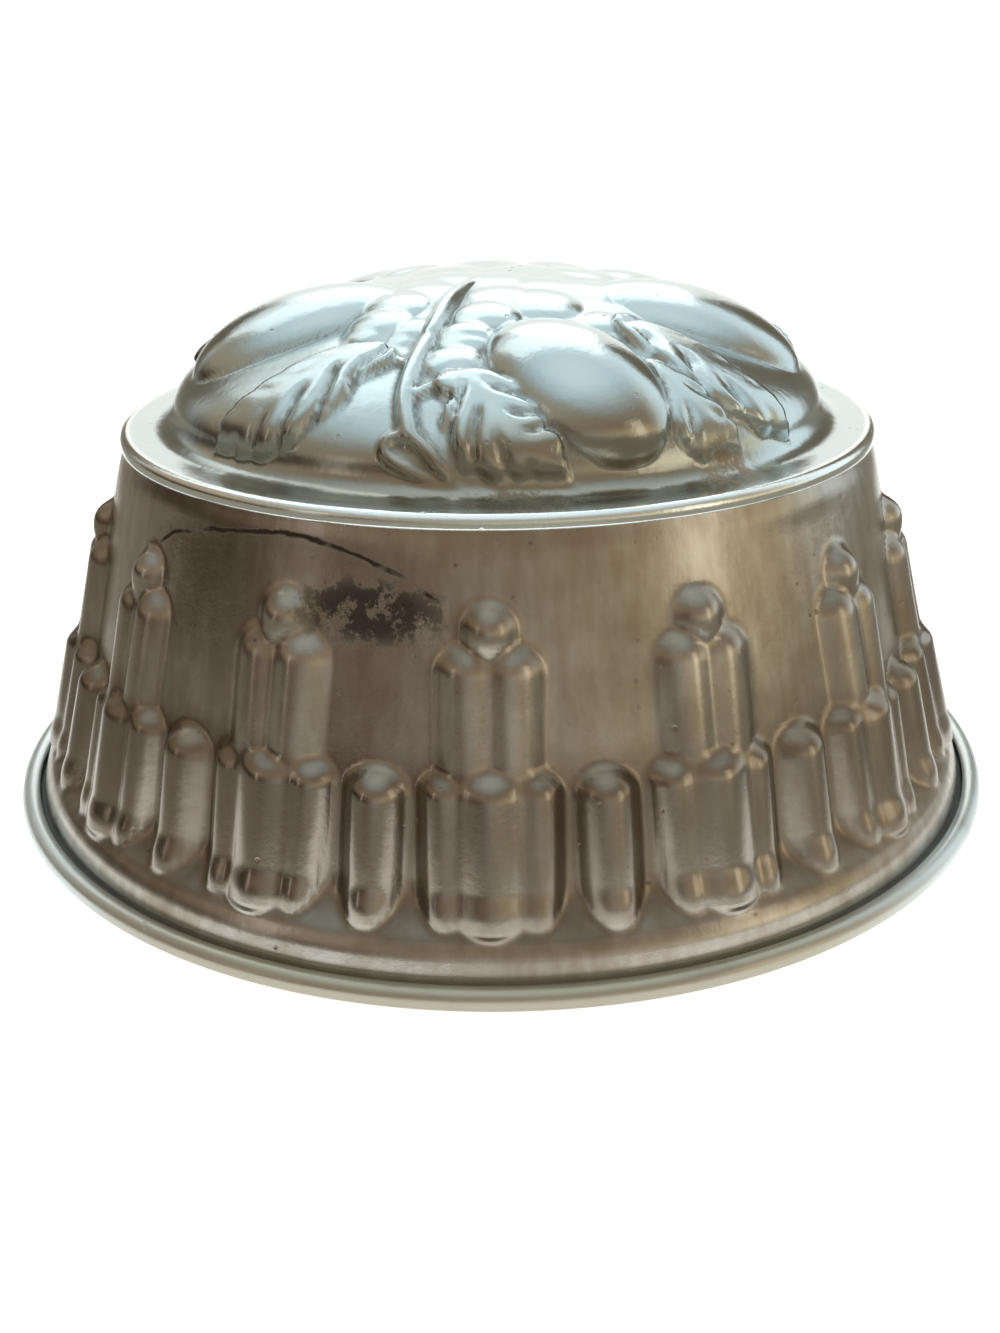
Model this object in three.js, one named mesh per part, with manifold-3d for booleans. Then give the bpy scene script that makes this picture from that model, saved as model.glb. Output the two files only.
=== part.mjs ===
// Tinned-steel jelly mould, standing on its wired rim with the crown up.
// Millimetres, +Z up. The origin is on the mould's axis, at the height of the surface it rests on.
// Azimuth 0 is the front (-Y) and grows towards +X.
import * as THREE from 'three';
import { mergeVertices } from 'three/addons/utils/BufferGeometryUtils.js';
import loadManifold from 'manifold-3d';

// Driving dimensions
const rimDiameter = 190;
const sheet = 0.5;
const clearance = 0.3;
const wireDiameter = 2.2;

// The wall: a cone, measured on its outer face
const wallTopRadius = 69;
const wallFootRadius = 83.9;
const footHeight = 8;
const ledgeHeight = 70;
const flangeDepth = 2.3;
const flangeEdgeHeight = ledgeHeight - flangeDepth;

// Pressed columns: clusters of a ball over two ribs over three ribs, with a short rib between
const clusterCount = 14;
const ballRadius = 4.9;
const ballCentreHeight = 53.4;
const ballRelief = 3.9;
const upperTopHeight = 51.4;
const upperShoulder = 4.2;
const upperRibHalfWidth = 4.6;
const upperRibSpacing = 8.2;
const upperRelief = 3.9;
const lowerTopHeight = 33;
const lowerShoulder = 4;
const lowerRibHalfWidth = 4.1;
const lowerRibSpacing = 7.2;
const lowerRelief = 5.2;
const shortRibHalfWidth = 5.1;
const shortRelief = 4.4;
const footRound = 3;

// The skirt ends in a lip beside the roll, this far in from the roll's middle and this high
const lipReach = 2.2;
const lipHeight = 2.75;

// The crown: a ledge, a tight cove and a dome, half an ellipse cut off a little above its foot
const ledgeRound = 1.4;
const ledgeInnerRadius = 64.6;
const domeRadius = 62;
const domeFootLift = 0.5;
const domeFootHeight = ledgeHeight + domeFootLift;
const domeRise = 20;
const domeCut = 80;

// The relief, laid out on the dome as if it were unrolled flat: X to the right and Y to the back,
// from the middle of the crown. It is turned a little to the columns.
const reliefTurn = 1.2;
const boss = { reach: 27, relief: 3.6 };
const fruits = [
  { centre: [-38, -15], along: [-0.985, -0.17], half: [22, 12], relief: 6 },
  { centre: [13, -45.5], along: [0.63, -0.78], half: [19, 12.5], relief: 6.4 },
  { centre: [38, -13], along: [0.98, -0.18], half: [22, 12], relief: 6 },
  { centre: [31, 36], along: [0.65, 0.76], half: [20, 13], relief: 4.4 },
  { centre: [-26, 39], along: [-0.55, 0.83], half: [20, 13], relief: 4.4 },
];
const leaves = [
  { vein: [[-21, -38], [-32.5, -42.5], [-52, -43]], halfWidth: 9, relief: 2.8 },
  { vein: [[-7, -49], [-2, -53], [2, -60], [13, -67]], halfWidth: 8.5, relief: 2.8 },
  { vein: [[24, -29], [39, -39], [54, -40]], halfWidth: 7, relief: 2.8 },
  { vein: [[27, -42], [33, -50], [46, -52]], halfWidth: 6.5, relief: 2.4 },
  { vein: [[38, 4], [61, 15]], halfWidth: 8, relief: 2.6 },
  { vein: [[2, 32], [-2, 61]], halfWidth: 8, relief: 2.6 },
  { vein: [[-38, 12], [-61, 12]], halfWidth: 8, relief: 2.6 },
];
const stems = [
  { path: [[-1, -4], [-9.5, -29], [-13.3, -42.5], [-14.5, -52], [-14, -58]], halfWidth: 2.6, relief: 3, startShare: 0.25 },
  { path: [[-14, -58], [-18, -59.5], [-7.5, -67]], halfWidth: 2.6, relief: 1.9, startShare: 1 },
];
const buds = [
  { centre: [-19, -26], reach: 8, relief: 2 },
  { centre: [-13, -13], reach: 8, relief: 1.5 },
  { centre: [-6, -38], reach: 7.5, relief: 2.4 },
  { centre: [0, -24], reach: 8, relief: 2 },
  { centre: [10, -14], reach: 8, relief: 1.5 },
  { centre: [-10, 6], reach: 8, relief: 1.3 },
  { centre: [8, 6], reach: 8, relief: 1.3 },
];

// Seams and solder. The lap takes the place of the short rib that follows cluster seamPitch.
const seamPitch = 7;
const lapWidth = 2.2;
const joggleLength = 1;
const lapRise = 0.6;
const seamSolderWidth = 1.2;
const crownSolderWidth = 2.6;
const wireGapAzimuth = 150;

// Worked out from the dimensions above
const degrees = Math.PI / 180;
const pitch = 2 * Math.PI / clusterCount;
const plainStepsPerPitch = 4;
const wallSlope = (wallFootRadius - wallTopRadius) / (flangeEdgeHeight - footHeight);
const wallNormal = new THREE.Vector2(1, wallSlope).normalize();
const wallTopHeight = ledgeHeight - sheet - clearance;
const flangeRadius = wallTopRadius + clearance + sheet;
const seamAzimuth = (seamPitch + 0.5) * pitch;
const rollSides = 8;
const rollFlat = Math.PI / rollSides;
const rollSteps = rollSides;
const rollInner = wireDiameter / 2 + clearance;
const rollOuter = rollInner + sheet;
const rollRadius = rimDiameter / 2 - rollOuter;
const seamStart = seamAzimuth + clearance / wallFootRadius / 2;
const buttEnd = seamAzimuth + 2 * Math.PI - clearance / wallFootRadius / 2;
const lapEnd = seamAzimuth + 2 * Math.PI - (joggleLength + clearance) / wallFootRadius;
const lapBottom = footHeight + lapRise;
const lapTop = wallTopHeight - crownSolderWidth - clearance;

function wallRadius(height) {
  return wallTopRadius + (flangeEdgeHeight - height) * wallSlope;
}

function pointAt(azimuth, radius, height) {
  return new THREE.Vector3(radius * Math.sin(azimuth), -radius * Math.cos(azimuth), height);
}

// A rounded rise from 0 outside to 1 inside: the quarter of an ellipse
function roundRise(distance, length) {
  const inside = THREE.MathUtils.clamp(distance / length, 0, 1);
  return Math.sqrt(1 - (1 - inside) ** 2);
}

// The round section of one pressed rib
function rib(offset, halfWidth) {
  return Math.sqrt(Math.max(0, 1 - (offset / halfWidth) ** 2));
}

// How far the columns stand out of the cone at an azimuth and a height
function columnRelief(azimuth, height) {
  const turns = azimuth / pitch;
  const radius = wallRadius(height);
  const fromCluster = (turns - Math.round(turns)) * pitch * radius;
  const fromShort = (turns - Math.floor(turns) - 0.5) * pitch * radius;
  const foot = roundRise(height - footHeight, footRound);
  const upperEnd = roundRise(upperTopHeight - height, upperShoulder) * foot;
  const lowerEnd = roundRise(lowerTopHeight - height, lowerShoulder) * foot;
  const ballReach = Math.hypot(fromCluster, height - ballCentreHeight);
  let relief = ballRelief * rib(ballReach, ballRadius);
  for (const side of [-1, 1]) {
    const ribOffset = fromCluster - side * upperRibSpacing / 2;
    relief = Math.max(relief, upperRelief * upperEnd * rib(ribOffset, upperRibHalfWidth));
  }
  for (const place of [-1, 0, 1]) {
    const ribOffset = fromCluster - place * lowerRibSpacing;
    relief = Math.max(relief, lowerRelief * lowerEnd * rib(ribOffset, lowerRibHalfWidth));
  }
  if (Math.floor(turns) % clusterCount === seamPitch) {
    return relief;
  }
  return Math.max(relief, shortRelief * lowerEnd * rib(fromShort, shortRibHalfWidth));
}

// Azimuths round the whole mould: the same offsets from every cluster and every short rib
function patternAzimuths(clusterOffsets, shortOffsets, height) {
  const radius = wallRadius(height);
  const azimuths = [];
  for (let cluster = 0; cluster < clusterCount; cluster += 1) {
    for (const offset of clusterOffsets) {
      azimuths.push(cluster * pitch + offset / radius);
    }
    for (const offset of shortOffsets) {
      azimuths.push((cluster + 0.5) * pitch + offset / radius);
    }
  }
  return azimuths;
}

function evenAzimuths(count) {
  return Array.from({ length: count }, (_, step) => step * 2 * Math.PI / count);
}

// The part of a round list that lies between the two ends of the strip, with the ends added
function stripAzimuths(azimuths, seamEnd) {
  const margin = pitch / 40;
  const turned = azimuths.map((azimuth) => {
    return seamStart + THREE.MathUtils.euclideanModulo(azimuth - seamStart, 2 * Math.PI);
  });
  const inside = turned.filter((azimuth) => azimuth > seamStart + margin && azimuth < seamEnd - margin);
  inside.sort((first, second) => first - second);
  return [seamStart, ...inside, seamEnd];
}

// Triangles between two rows of points: in pairs across the shorter diagonal where the rows have
// the same count, and otherwise matched by azimuth
function stitch(points, upper, lower, closed, indices) {
  const upperSteps = upper.ids.length - (closed && upper.ids.length > 1 ? 0 : 1);
  const lowerSteps = lower.ids.length - (closed && lower.ids.length > 1 ? 0 : 1);
  const idAt = (row, step) => row.ids[step % row.ids.length];
  const azimuthAt = (row, step) => {
    return row.azimuths[step % row.ids.length] + 2 * Math.PI * Math.floor(step / row.ids.length);
  };
  const distance = (first, second) => points[first].distanceTo(points[second]);
  let u = 0;
  let l = 0;
  while (u < upperSteps || l < lowerSteps) {
    let upperFirst = azimuthAt(upper, u + 1) <= azimuthAt(lower, l + 1);
    if (upperSteps === lowerSteps) {
      const rising = distance(idAt(lower, l), idAt(upper, u + 1));
      upperFirst = u === l ? rising < distance(idAt(upper, u), idAt(lower, l + 1)) : u < l;
    }
    if (l >= lowerSteps || (u < upperSteps && upperFirst)) {
      indices.push(idAt(upper, u), idAt(lower, l), idAt(upper, u + 1));
      u += 1;
    } else {
      indices.push(idAt(upper, u), idAt(lower, l), idAt(lower, l + 1));
      l += 1;
    }
  }
}

function geometryFrom(points, indices) {
  const geometry = new THREE.BufferGeometry().setFromPoints(points);
  geometry.setIndex(indices);
  return geometry;
}

// A closed solid of one thickness of sheet: its outer rows, a fold, and its inner rows back again.
// Each row has azimuths, a radius, a height and a normal in the meridian plane, and may have relief.
function sheetSolid(rows, closed) {
  const points = [];
  const addRow = (row, depth) => {
    const ids = row.azimuths.map((azimuth) => {
      const lift = (row.relief ? row.relief(azimuth) : 0) - depth;
      points.push(pointAt(azimuth, row.radius + lift * row.normal.x, row.height + lift * row.normal.y));
      return points.length - 1;
    });
    return { azimuths: row.azimuths, ids };
  };
  const outer = rows.map((row) => addRow(row, 0));
  const inner = rows.map((row) => addRow(row, sheet));
  const loop = [...outer, ...inner.slice().reverse()];
  const startsOnAxis = rows[0].azimuths.length === 1;
  if (!startsOnAxis) {
    loop.push(outer[0]);
  }
  const indices = [];
  for (let index = 0; index + 1 < loop.length; index += 1) {
    stitch(points, loop[index], loop[index + 1], closed, indices);
  }
  if (!closed) {
    for (let index = 0; index + 1 < rows.length; index += 1) {
      const quad = [outer[index], inner[index], inner[index + 1], outer[index + 1]];
      const [a, b, c, d] = quad.map((row) => row.ids[0]);
      indices.push(a, b, c, a, c, d);
      const [e, f, g, h] = quad.map((row) => row.ids[row.ids.length - 1]);
      indices.push(e, g, f, e, h, g);
    }
  }
  return geometryFrom(points, indices);
}

// A solid swept round the axis from one section, over a full turn or between two azimuths
function roundSolid(section, azimuths, closed) {
  const points = [];
  const rows = section.map((corner) => {
    const ids = azimuths.map((azimuth) => points.push(pointAt(azimuth, corner.x, corner.y)) - 1);
    return { azimuths, ids };
  });
  const indices = [];
  rows.forEach((row, index) => {
    stitch(points, row, rows[(index + 1) % rows.length], closed, indices);
  });
  if (!closed) {
    for (let corner = 1; corner + 1 < rows.length; corner += 1) {
      const fan = [rows[0], rows[corner + 1], rows[corner]];
      indices.push(...fan.map((row) => row.ids[0]));
      indices.push(...fan.reverse().map((row) => row.ids[row.ids.length - 1]));
    }
  }
  return geometryFrom(points, indices);
}

// A bar up the inside of the cone. Its section is given as steps along the wall and depths below
// the wall's outer face, and it runs between two heights.
function barUpWall(section, bottom, top) {
  const points = [];
  for (const height of [top, bottom]) {
    for (const [along, depth] of section) {
      const radius = wallRadius(height);
      points.push(pointAt(seamAzimuth + along / radius, radius - depth, height));
    }
  }
  const count = section.length;
  const corners = section.map(([along, depth]) => new THREE.Vector2(along, -depth));
  const faces = THREE.ShapeUtils.triangulateShape(corners, []);
  const indices = [];
  for (const [a, b, c] of faces) {
    indices.push(a, c, b, count + a, count + b, count + c);
  }
  for (let side = 0; side < count; side += 1) {
    const next = (side + 1) % count;
    indices.push(side, next, count + next, side, count + next, count + side);
  }
  return geometryFrom(points, indices);
}

// Boolean joins
const manifold = await loadManifold();
manifold.setup();

function toManifold(geometry) {
  const merged = mergeVertices(geometry);
  const vertProperties = new Float32Array(merged.attributes.position.array);
  const triVerts = new Uint32Array(merged.index.array);
  const solid = new manifold.Manifold(new manifold.Mesh({ numProp: 3, vertProperties, triVerts }));
  return solid;
}

function fromManifold(solid) {
  const mesh = solid.getMesh();
  const geometry = new THREE.BufferGeometry();
  geometry.setAttribute('position', new THREE.BufferAttribute(mesh.vertProperties, 3));
  geometry.setIndex(Array.from(mesh.triVerts));
  return geometry;
}

// The wall's rows, from the edge under the crown down to the raw edge of the roll round the wire
function wallRows() {
  const mirrored = (offsets) => [...offsets.map((offset) => -offset).reverse(), 0, ...offsets];
  const ballHalf = ballRadius / 2;
  const ballFlank = (ballHalf + ballRadius * Math.SQRT2) / 2.2;
  const ballOffsets = mirrored([ballHalf, ballFlank, ballRadius]);
  const upperPeak = upperRibSpacing / 2;
  const upperEdge = upperPeak + upperRibHalfWidth;
  const upperFlat = upperRibHalfWidth / 2;
  const upperOffsets = mirrored([upperPeak - upperFlat, upperPeak + upperFlat, upperEdge]);
  const lowerEdge = lowerRibSpacing + lowerRibHalfWidth;
  const lowerOffsets = mirrored([lowerRibSpacing / 2, lowerRibSpacing, lowerEdge]);
  const shortHalf = shortRibHalfWidth / 2;
  const shortOffsets = [-shortRibHalfWidth, -shortHalf, shortHalf, shortRibHalfWidth];
  const around = evenAzimuths(clusterCount * plainStepsPerPitch);

  const coneRow = (height, clusterOffsets) => ({
    azimuths: stripAzimuths(patternAzimuths(clusterOffsets, shortOffsets, height), lapEnd),
    radius: wallRadius(height),
    height,
    normal: wallNormal,
    relief: (azimuth) => columnRelief(azimuth, height),
  });
  const edge = stripAzimuths(around, lapEnd);
  const rows = [
    { azimuths: edge, radius: wallRadius(wallTopHeight), height: wallTopHeight, normal: wallNormal },
    coneRow(ballCentreHeight + ballRadius, ballOffsets),
    coneRow(ballCentreHeight + ballHalf, ballOffsets),
    coneRow(ballCentreHeight, ballOffsets),
    coneRow(upperTopHeight, upperOffsets),
    coneRow(upperTopHeight - upperShoulder, upperOffsets),
    coneRow(lowerTopHeight, lowerOffsets),
    coneRow(lowerTopHeight - lowerShoulder, lowerOffsets),
    coneRow(footHeight + footRound, lowerOffsets),
    coneRow(footHeight, lowerOffsets),
  ];

  // The skirt flares in a cove from the foot of the columns to a lip beside the roll. From here
  // down the two ends of the strip butt.
  const plain = stripAzimuths(around, buttEnd);
  const plainRow = (radius, height, normal) => ({ azimuths: plain, radius, height, normal });
  const lip = new THREE.Vector2(rollRadius - lipReach, lipHeight);
  const foot = new THREE.Vector2(wallFootRadius, footHeight);
  const hollow = new THREE.Vector2(foot.x + (lip.x - foot.x) / 3, lip.y + 3 * clearance);
  const drop = new THREE.Vector2(rollRadius - rollInner - clearance / 2, rollOuter + clearance / 2);
  const cove = new THREE.QuadraticBezierCurve(foot, hollow, lip);
  const coveRows = 4;
  for (let step = 1; step < coveRows; step += 1) {
    const point = cove.getPoint(step / coveRows);
    const tangent = cove.getTangent(step / coveRows);
    rows.push(plainRow(point.x, point.y, new THREE.Vector2(-tangent.y, tangent.x)));
  }
  const lipNormal = new THREE.Vector2(1, 2).normalize();
  const dropNormal = new THREE.Vector2(2, 1).normalize();
  rows.push(plainRow(lip.x, lip.y, lipNormal), plainRow(drop.x, drop.y, dropNormal));

  // The sheet passes under the wire, up round its outside and over it, and curls down beside the lip
  for (let side = 0; side < rollSteps; side += 1) {
    const angle = Math.PI + rollFlat + side * 2 * rollFlat - (side === rollSteps - 1 ? rollFlat : 0);
    const across = new THREE.Vector2(Math.cos(angle), Math.sin(angle));
    const radius = rollInner / Math.cos(rollFlat);
    const normal = across.clone().negate().divideScalar(Math.cos(rollFlat));
    rows.push(plainRow(rollRadius + radius * across.x, rollOuter + radius * across.y, normal));
  }
  return rows;
}

// The tongue that the strip's end slips under the other end: it steps in by one sheet and a clearance.
// Its root lies inside the sheet, so that the two join.
function lapTongue() {
  const lapDepth = sheet + clearance;
  const root = -joggleLength - clearance;
  const buried = sheet / 2;
  const section = [
    [root - joggleLength, buried],
    [root - joggleLength, sheet - clearance / 4],
    [root, sheet + clearance / 2],
    [root + joggleLength, lapDepth + sheet],
    [lapWidth, lapDepth + sheet],
    [lapWidth, lapDepth],
    [root + joggleLength, lapDepth],
    [root, buried],
  ];
  return barUpWall(section, lapBottom, lapTop);
}

function sideWallGeometry() {
  const strip = toManifold(sheetSolid(wallRows(), false));
  return fromManifold(strip.add(toManifold(lapTongue())));
}

function seamSolderGeometry() {
  const top = sheet + clearance;
  const start = lapWidth + clearance;
  const section = [
    [start, top],
    [start, top + sheet + clearance],
    [start + seamSolderWidth / 2, top + sheet],
    [start + seamSolderWidth, top],
  ];
  return barUpWall(section, lapBottom, lapTop);
}

// The dome at a share of its arc, from the top (0) to where the cove cuts it (1)
function domePoint(share) {
  const turn = share * domeCut * degrees;
  return new THREE.Vector2(domeRadius * Math.sin(turn), domeFootHeight + domeRise * Math.cos(turn));
}

function domeNormal(point) {
  return new THREE.Vector2(point.x / domeRadius ** 2, (point.y - domeFootHeight) / domeRise ** 2).normalize();
}

// A round-topped form: 1 in its middle and 0 at a distance of 1
function mound(distance) {
  return Math.sqrt(Math.max(0, 1 - distance ** 2));
}

// How far a place lies from a line of points, and how far along it the nearest place is (0 to 1)
function alongLine(place, line) {
  const corners = line.map(([x, y]) => new THREE.Vector3(x, y, 0));
  const spans = corners.slice(1).map((corner, index) => new THREE.Line3(corners[index], corner));
  const total = spans.reduce((sum, span) => sum + span.distance(), 0);
  const nearest = { distance: Infinity, share: 0 };
  let done = 0;
  for (const span of spans) {
    const share = span.closestPointToPointParameter(place, true);
    const distance = span.at(share, new THREE.Vector3()).distanceTo(place);
    if (distance < nearest.distance) {
      nearest.distance = distance;
      nearest.share = (done + share * span.distance()) / total;
    }
    done += span.distance();
  }
  return nearest;
}

function fruitRelief(place, fruit) {
  const [ux, uy] = fruit.along;
  const x = place.x - fruit.centre[0];
  const y = place.y - fruit.centre[1];
  return fruit.relief * mound(Math.hypot((x * ux + y * uy) / fruit.half[0], (y * ux - x * uy) / fruit.half[1]));
}

function leafRelief(place, leaf) {
  const { distance, share } = alongLine(place, leaf.vein);
  return leaf.relief * mound(Math.hypot(distance / leaf.halfWidth, 2 * share - 1));
}

function stemRelief(place, stem) {
  const { distance, share } = alongLine(place, stem.path);
  const rise = Math.min(1, stem.startShare + 2 * share);
  return stem.relief * rise * mound(distance / stem.halfWidth);
}

function budRelief(place, bud) {
  return bud.relief * mound(Math.hypot(place.x - bud.centre[0], place.y - bud.centre[1]) / bud.reach);
}

// How far the fruit, the leaves and the stem stand out of the dome at an azimuth and a distance down it
function crownRelief(azimuth, reach) {
  const turned = azimuth - reliefTurn * degrees;
  const place = new THREE.Vector3(reach * Math.sin(turned), -reach * Math.cos(turned), 0);
  const middle = boss.relief * mound(reach / boss.reach);
  const low = [...leaves.map((leaf) => leafRelief(place, leaf)), ...buds.map((bud) => budRelief(place, bud))];
  const stemTop = Math.max(...stems.map((stem) => stemRelief(place, stem)));
  return Math.max(middle + Math.max(stemTop, ...low), ...fruits.map((fruit) => fruitRelief(place, fruit)));
}

// Azimuths of one row of the crown: finer at the front, where the relief is known, than at the back
function crownAzimuths(thinning) {
  const frontHalf = 105;
  const frontSteps = 64;
  const backSteps = 24;
  const azimuths = [];
  for (let step = 0; step < frontSteps; step += thinning) {
    azimuths.push((step / frontSteps * 2 - 1) * frontHalf * degrees);
  }
  for (let step = 0; step < backSteps; step += thinning) {
    azimuths.push((frontHalf + step / backSteps * (360 - 2 * frontHalf)) * degrees);
  }
  const turned = azimuths.map((azimuth) => THREE.MathUtils.euclideanModulo(azimuth, 2 * Math.PI));
  return turned.sort((first, second) => first - second);
}

// The crown's rows, from the middle of the dome out to the edge of the flange
function crownRows() {
  const rows = [];
  const domeRows = 18;
  let reach = 0;
  for (let step = 0; step <= domeRows; step += 1) {
    const point = domePoint(step / domeRows);
    reach += step === 0 ? 0 : point.distanceTo(domePoint((step - 1) / domeRows));
    const rowReach = reach;
    const thinning = step < 3 ? 8 : step < 6 ? 2 : 1;
    rows.push({
      azimuths: step === 0 ? [0] : crownAzimuths(thinning),
      radius: point.x,
      height: point.y,
      normal: domeNormal(point),
      relief: (azimuth) => crownRelief(azimuth, rowReach),
    });
  }
  const around = evenAzimuths(clusterCount * plainStepsPerPitch);
  const plainRow = (radius, height, normal) => rows.push({ azimuths: around, radius, height, normal });
  const cut = domePoint(1);
  const ledge = new THREE.Vector2(ledgeInnerRadius, ledgeHeight);
  const corner = new THREE.Vector2(domeRadius, ledgeHeight);
  const cove = new THREE.QuadraticBezierCurve(cut, corner, ledge);
  const coveRows = 3;
  for (let step = 1; step <= coveRows; step += 1) {
    const point = cove.getPoint(step / coveRows);
    const tangent = cove.getTangent(step / coveRows);
    plainRow(point.x, point.y, new THREE.Vector2(-tangent.y, tangent.x));
  }
  const roundSteps = 2;
  for (let step = 0; step <= roundSteps; step += 1) {
    const turn = (1 - step / roundSteps) * Math.PI / 2;
    const normal = new THREE.Vector2(Math.cos(turn), Math.sin(turn));
    const inner = flangeRadius - ledgeRound;
    plainRow(inner + ledgeRound * normal.x, ledgeHeight - ledgeRound + ledgeRound * normal.y, normal);
  }
  plainRow(flangeRadius, flangeEdgeHeight, new THREE.Vector2(1, 0));
  return rows;
}

// A fillet of solder in the corner between the wall and the underside of the ledge
function crownSolderGeometry() {
  const top = ledgeHeight - sheet - clearance;
  const wallDepth = sheet / wallNormal.x + clearance;
  const bottom = top - crownSolderWidth;
  const corner = wallRadius(top) - wallDepth;
  const section = [
    new THREE.Vector2(corner - crownSolderWidth, top),
    new THREE.Vector2(corner, top),
    new THREE.Vector2(wallRadius(bottom) - wallDepth, bottom),
  ];
  return roundSolid(section, evenAzimuths(clusterCount * plainStepsPerPitch), true);
}

function rimWireGeometry() {
  const section = [];
  for (let side = 0; side < rollSides; side += 1) {
    const angle = rollFlat - side * 2 * rollFlat;
    const across = new THREE.Vector2(Math.cos(angle), Math.sin(angle));
    section.push(across.multiplyScalar(wireDiameter / 2).add(new THREE.Vector2(rollRadius, rollOuter)));
  }
  const start = wireGapAzimuth * degrees + clearance / rollRadius;
  const around = 2 * Math.PI - 2 * clearance / rollRadius;
  const steps = clusterCount * plainStepsPerPitch;
  const azimuths = Array.from({ length: steps + 1 }, (_, step) => start + around * step / steps);
  return roundSolid(section, azimuths, false);
}

const tinned = { roughness: 0.35, metalness: 1 };
const finishes = {
  crown: new THREE.MeshStandardMaterial({ color: 0xb9bdb9, ...tinned }),
  side_wall: new THREE.MeshStandardMaterial({ color: 0x8d8172, ...tinned }),
  rim_wire: new THREE.MeshStandardMaterial({ color: 0x77746c, roughness: 0.5, metalness: 1 }),
  crown_solder: new THREE.MeshStandardMaterial({ color: 0x9a9a98, roughness: 0.55, metalness: 1 }),
  side_seam_solder: new THREE.MeshStandardMaterial({ color: 0x9a9a98, roughness: 0.55, metalness: 1 }),
};
const shapes = {
  crown: sheetSolid(crownRows(), true),
  side_wall: sideWallGeometry(),
  rim_wire: rimWireGeometry(),
  crown_solder: crownSolderGeometry(),
  side_seam_solder: seamSolderGeometry(),
};

const mould = new THREE.Group();
for (const [name, geometry] of Object.entries(shapes)) {
  const mesh = new THREE.Mesh(geometry, finishes[name]);
  mesh.name = name;
  mould.add(mesh);
}

export default mould;
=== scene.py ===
import math
import bmesh
import bpy
import numpy as np
from mathutils import Matrix, Vector


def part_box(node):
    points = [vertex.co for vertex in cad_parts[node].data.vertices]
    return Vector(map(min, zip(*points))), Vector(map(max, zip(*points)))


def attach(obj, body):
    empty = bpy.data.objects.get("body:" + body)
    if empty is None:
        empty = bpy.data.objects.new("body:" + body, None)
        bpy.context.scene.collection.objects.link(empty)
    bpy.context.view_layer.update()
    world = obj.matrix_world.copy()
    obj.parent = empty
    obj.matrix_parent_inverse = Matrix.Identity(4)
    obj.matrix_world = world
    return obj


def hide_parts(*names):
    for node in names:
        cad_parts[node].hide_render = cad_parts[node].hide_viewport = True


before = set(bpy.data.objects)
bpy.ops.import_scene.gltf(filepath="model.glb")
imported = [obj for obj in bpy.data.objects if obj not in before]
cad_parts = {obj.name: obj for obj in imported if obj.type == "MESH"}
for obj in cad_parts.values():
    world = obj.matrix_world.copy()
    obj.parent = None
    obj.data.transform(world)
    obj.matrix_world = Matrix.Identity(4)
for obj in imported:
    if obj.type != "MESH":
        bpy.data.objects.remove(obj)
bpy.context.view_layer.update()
scene = bpy.context.scene
scene.view_settings.view_transform = "Standard"
mm = 0.001
print("frame loaded:", ", ".join(sorted(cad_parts)))


# the picture's camera, in millimetres and radians
photoCamera = {
    "width": 1000,
    "height": 1333,
    "focalPixels": 1500,
    "distance": 281.0,
    "eyeHeight": 134.6,
    "pitch": 0.3968,
    "roll": -0.0113,
    "azimuth": math.radians(1.2),  # the nearest cluster stands a little left of the middle
}


def makeCamera(view):
    data = bpy.data.cameras.new("photoCamera")
    data.sensor_width = 36.0
    data.lens = view["focalPixels"] / view["height"] * data.sensor_width
    data.clip_start = 0.01
    camera = bpy.data.objects.new("photoCamera", data)
    scene.collection.objects.link(camera)
    place = Vector((0.0, -view["distance"], view["eyeHeight"])) * mm
    tilt = Matrix.Rotation(math.pi / 2 - view["pitch"], 4, "X")
    roll = Matrix.Rotation(view["roll"], 4, "Z")
    around = Matrix.Rotation(view["azimuth"], 4, "Z")
    camera.matrix_world = around @ Matrix.Translation(place) @ tilt @ roll
    scene.camera = camera


makeCamera(photoCamera)
print("camera set")


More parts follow.
